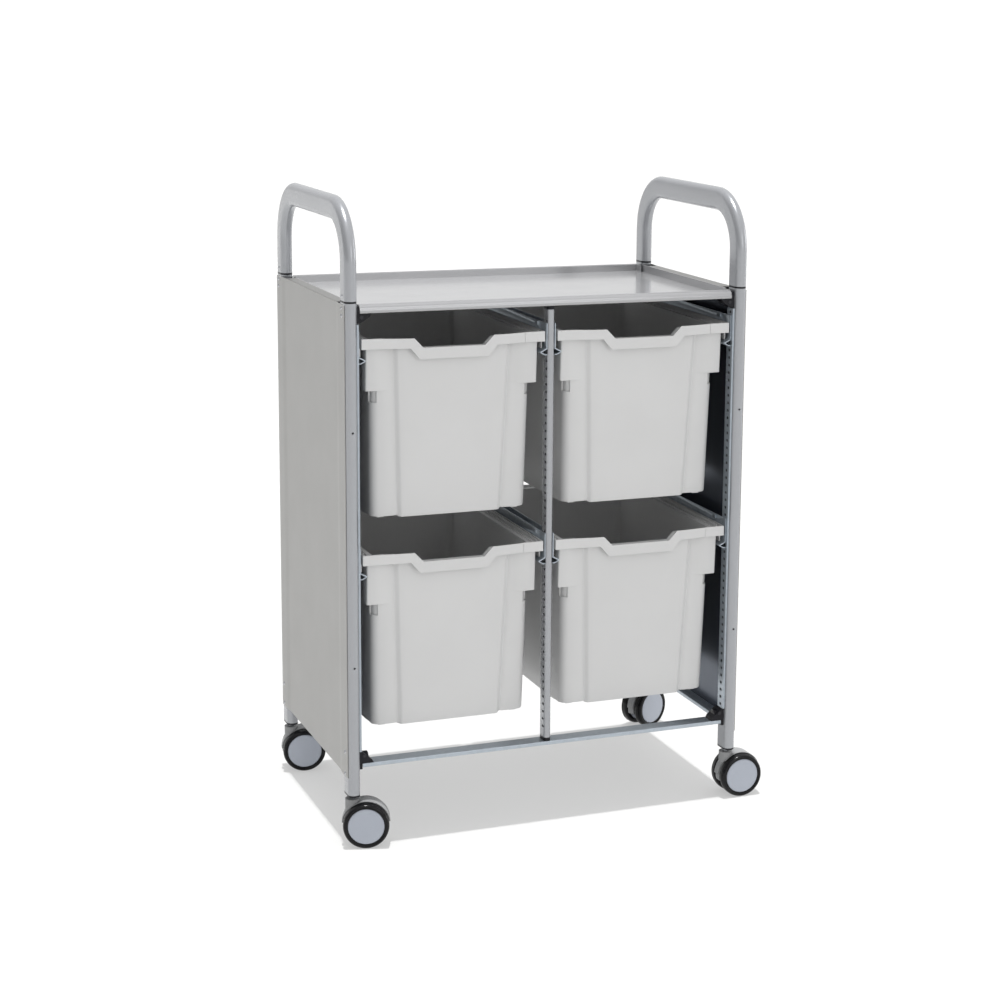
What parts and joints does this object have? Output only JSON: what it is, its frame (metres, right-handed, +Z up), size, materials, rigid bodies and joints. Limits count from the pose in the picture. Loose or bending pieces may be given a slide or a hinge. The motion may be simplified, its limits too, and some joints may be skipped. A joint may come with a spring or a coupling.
{
  "type": "book cart",
  "caption": "Tall wheeled cart with loop handles, side panels, a shallow top shelf and deep pull-out trays in two columns, for books and class materials.",
  "frame": {"origin": "on the floor, under the middle of the whole outline with the castors as stored", "axes": "+Z up, -Y towards the front where the trays pull out, +X to the right"},
  "size_m": [0.7578, 0.4753, 1.048],
  "materials": {
    "frame_paint": "silver powder coat, satin",
    "panel_paint": "warm grey powder coat, satin",
    "shelf_paint": "light silver lacquer, glossy",
    "galvanised": "bright galvanised sheet",
    "bright_steel": "bright plated",
    "black_plastic": "moulded black",
    "tray_plastic": "moulded light grey, fine satin",
    "castor_plastic": "moulded grey",
    "lever_plastic": "moulded grey",
    "hub_plastic": "blue-grey moulded, satin",
    "tyre": "smooth black tread"
  },
  "bodies": {
    "frame": {"bottom_corner_connectors": "black_plastic", "bottom_rail_front": "galvanised", "bottom_rail_rear": "galvanised", "bottom_side_rails": "galvanised", "castor_stems": "bright_steel", "centre_post_caps": "black_plastic", "centre_post_front": "frame_paint", "centre_post_rear": "frame_paint", "connector_screws": "bright_steel", "handle_left": "frame_paint", "handle_right": "frame_paint", "joint_collars": "black_plastic", "lower_left_runners": "galvanised", "lower_right_runners": "galvanised", "panel_screws": "bright_steel", "post_end_plugs": "black_plastic", "post_front_left": "frame_paint", "post_front_right": "frame_paint", "post_rear_left": "frame_paint", "post_rear_right": "frame_paint", "rack_strips_left": "galvanised", "rack_strips_right": "galvanised", "side_panel_left": "panel_paint", "side_panel_right": "panel_paint", "top_corner_connectors": "black_plastic", "top_shelf": "shelf_paint", "upper_left_runners": "galvanised", "upper_right_runners": "galvanised"},
    "tray_lower_left": {"tray_lower_left": "tray_plastic"},
    "tray_lower_right": {"tray_lower_right": "tray_plastic"},
    "tray_upper_left": {"tray_upper_left": "tray_plastic"},
    "tray_upper_right": {"tray_upper_right": "tray_plastic"},
    "castor_front_left": {"castor_housing_front_left": "castor_plastic", "castor_axle_front_left": "bright_steel"},
    "wheel_front_left_outer": {"tyre_front_left_outer": "tyre", "hub_front_left_outer": "hub_plastic"},
    "wheel_front_left_inner": {"tyre_front_left_inner": "tyre", "hub_front_left_inner": "hub_plastic"},
    "castor_front_right": {"castor_housing_front_right": "castor_plastic", "castor_axle_front_right": "bright_steel"},
    "wheel_front_right_outer": {"tyre_front_right_outer": "tyre", "hub_front_right_outer": "hub_plastic"},
    "wheel_front_right_inner": {"tyre_front_right_inner": "tyre", "hub_front_right_inner": "hub_plastic"},
    "castor_rear_left": {"castor_housing_rear_left": "castor_plastic", "castor_axle_rear_left": "bright_steel", "brake_pin_rear_left": "bright_steel"},
    "wheel_rear_left_outer": {"tyre_rear_left_outer": "tyre", "hub_rear_left_outer": "hub_plastic"},
    "wheel_rear_left_inner": {"tyre_rear_left_inner": "tyre", "hub_rear_left_inner": "hub_plastic"},
    "brake_rear_left": {"brake_lever_rear_left": "lever_plastic"},
    "castor_rear_right": {"castor_housing_rear_right": "castor_plastic", "castor_axle_rear_right": "bright_steel", "brake_pin_rear_right": "bright_steel"},
    "wheel_rear_right_outer": {"tyre_rear_right_outer": "tyre", "hub_rear_right_outer": "hub_plastic"},
    "wheel_rear_right_inner": {"tyre_rear_right_inner": "tyre", "hub_rear_right_inner": "hub_plastic"},
    "brake_rear_right": {"brake_lever_rear_right": "lever_plastic"}
  },
  "joints": [
    {"name": "tray_lower_left_slide", "type": "slide", "parent": "frame", "child": "tray_lower_left", "axis": [0, -1, 0], "range_m": [0, 0.34]},
    {"name": "tray_lower_right_slide", "type": "slide", "parent": "frame", "child": "tray_lower_right", "axis": [0, -1, 0], "range_m": [0, 0.34]},
    {"name": "tray_upper_left_slide", "type": "slide", "parent": "frame", "child": "tray_upper_left", "axis": [0, -1, 0], "range_m": [0, 0.34]},
    {"name": "tray_upper_right_slide", "type": "slide", "parent": "frame", "child": "tray_upper_right", "axis": [0, -1, 0], "range_m": [0, 0.34]},
    {"name": "castor_front_left_swivel", "type": "hinge", "parent": "frame", "child": "castor_front_left", "pos_m": [-0.35635, -0.1945, 0.0735], "axis": [0, 0, 1], "continuous": true},
    {"name": "wheel_front_left_outer_roll", "type": "hinge", "parent": "castor_front_left", "child": "wheel_front_left_outer", "pos_m": [-0.3352, -0.20056, 0.0375], "axis": [-0.2756, -0.9613, 0], "continuous": true},
    {"name": "wheel_front_left_inner_roll", "type": "hinge", "parent": "castor_front_left", "child": "wheel_front_left_inner", "pos_m": [-0.3352, -0.20056, 0.0375], "axis": [-0.2756, -0.9613, 0], "continuous": true},
    {"name": "castor_front_right_swivel", "type": "hinge", "parent": "frame", "child": "castor_front_right", "pos_m": [0.31365, -0.1945, 0.0735], "axis": [0, 0, 1], "continuous": true},
    {"name": "wheel_front_right_outer_roll", "type": "hinge", "parent": "castor_front_right", "child": "wheel_front_right_outer", "pos_m": [0.33565, -0.19412, 0.0375], "axis": [0.0175, -0.9998, 0], "continuous": true},
    {"name": "wheel_front_right_inner_roll", "type": "hinge", "parent": "castor_front_right", "child": "wheel_front_right_inner", "pos_m": [0.33565, -0.19412, 0.0375], "axis": [0.0175, -0.9998, 0], "continuous": true},
    {"name": "castor_rear_left_swivel", "type": "hinge", "parent": "frame", "child": "castor_rear_left", "pos_m": [-0.35635, 0.1945, 0.0735], "axis": [0, 0, 1], "continuous": true},
    {"name": "wheel_rear_left_outer_roll", "type": "hinge", "parent": "castor_rear_left", "child": "wheel_rear_left_outer", "pos_m": [-0.33468, 0.19068, 0.0375], "axis": [-0.1736, -0.9848, 0], "continuous": true},
    {"name": "wheel_rear_left_inner_roll", "type": "hinge", "parent": "castor_rear_left", "child": "wheel_rear_left_inner", "pos_m": [-0.33468, 0.19068, 0.0375], "axis": [-0.1736, -0.9848, 0], "continuous": true},
    {"name": "brake_rear_left_hinge", "type": "hinge", "parent": "castor_rear_left", "child": "brake_rear_left", "pos_m": [-0.3076, 0.1859, 0.0455], "axis": [-0.1736, -0.9848, 0], "range_deg": [-8, 0]},
    {"name": "castor_rear_right_swivel", "type": "hinge", "parent": "frame", "child": "castor_rear_right", "pos_m": [0.31365, 0.1945, 0.0735], "axis": [0, 0, 1], "continuous": true},
    {"name": "wheel_rear_right_outer_roll", "type": "hinge", "parent": "castor_rear_right", "child": "wheel_rear_right_outer", "pos_m": [0.33359, 0.2038, 0.0375], "axis": [0.4226, -0.9063, 0], "continuous": true},
    {"name": "wheel_rear_right_inner_roll", "type": "hinge", "parent": "castor_rear_right", "child": "wheel_rear_right_inner", "pos_m": [0.33359, 0.2038, 0.0375], "axis": [0.4226, -0.9063, 0], "continuous": true},
    {"name": "brake_rear_right_hinge", "type": "hinge", "parent": "castor_rear_right", "child": "brake_rear_right", "pos_m": [0.35851, 0.21542, 0.0455], "axis": [0.4226, -0.9063, 0], "range_deg": [-8, 0]}
  ]
}
